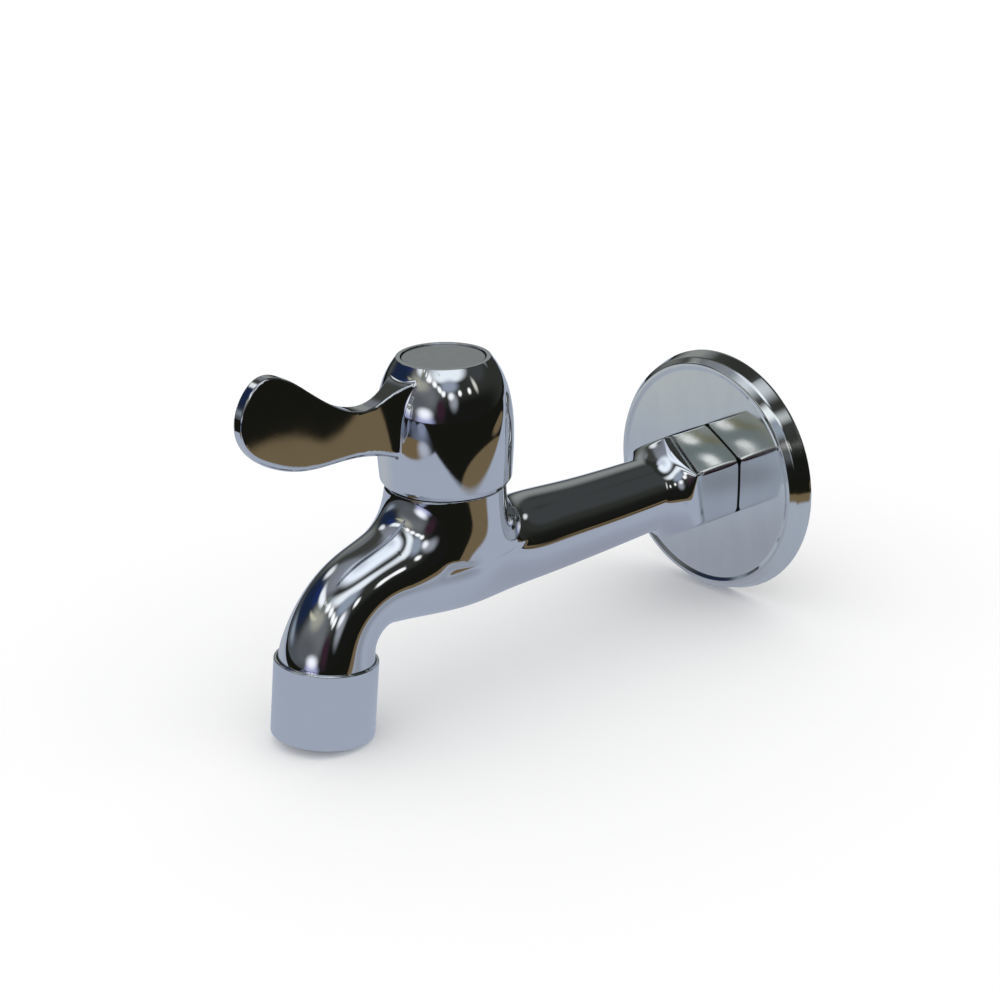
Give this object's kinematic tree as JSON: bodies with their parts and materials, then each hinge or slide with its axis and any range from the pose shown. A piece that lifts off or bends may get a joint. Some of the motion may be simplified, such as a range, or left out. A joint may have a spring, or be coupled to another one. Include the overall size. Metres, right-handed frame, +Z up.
{
  "type": "bib tap",
  "caption": "Wall-mounted chrome bib tap with a quarter-turn paddle lever, hexagon inlet, wall flange and down-turned spout with aerator.",
  "frame": {"origin": "the point where the inlet thread's axis crosses the wall, on the plane of the flange's back rim", "axes": "+Y along the inlet thread into the wall, -Y towards the user, +Z up; the spout points down at the -Y end"},
  "size_m": [0.07, 0.1765, 0.0968],
  "materials": {
    "body": "mirror chrome plate on cast brass",
    "wall_flange": "mirror chrome plate on pressed metal",
    "aerator_collar": "mirror chrome plate",
    "aerator_washer": "matt black rubber",
    "aerator_strainer": "punched stainless disc",
    "aerator_core": "moulded off-white plastic",
    "aerator_fine_screens": "woven stainless wire",
    "aerator_flow_grid": "moulded off-white plastic",
    "headwork_body": "turned brass",
    "headwork_gasket": "red-brown fibre",
    "seat_seal": "matt black rubber",
    "fixed_disc": "lapped alumina",
    "moving_disc": "lapped alumina",
    "spindle": "turned brass",
    "spindle_o_rings": "greased black rubber",
    "friction_washer": "white low-friction plastic",
    "retaining_clip": "spring steel",
    "spline_bush": "white nylon",
    "handle": "mirror chrome plate on zinc casting",
    "handle_screw": "stainless steel",
    "handle_cap": "chrome plate, slightly satin top"
  },
  "bodies": {
    "tap": {"body": "body", "wall_flange": "wall_flange", "aerator_collar": "aerator_collar", "aerator_washer": "aerator_washer", "aerator_strainer": "aerator_strainer", "aerator_core": "aerator_core", "aerator_fine_screens": "aerator_fine_screens", "aerator_flow_grid": "aerator_flow_grid", "headwork_body": "headwork_body", "headwork_gasket": "headwork_gasket", "seat_seal": "seat_seal", "fixed_disc": "fixed_disc"},
    "lever_handle": {"handle": "handle", "handle_cap": "handle_cap", "handle_screw": "handle_screw", "spline_bush": "spline_bush", "spindle": "spindle", "spindle_o_rings": "spindle_o_rings", "friction_washer": "friction_washer", "retaining_clip": "retaining_clip", "moving_disc": "moving_disc"}
  },
  "joints": [
    {"name": "lever_turn", "type": "hinge", "parent": "tap", "child": "lever_handle", "pos_m": [0, -0.1016, 0.023], "axis": [0, 0, 1], "range_deg": [0, 90]}
  ]
}
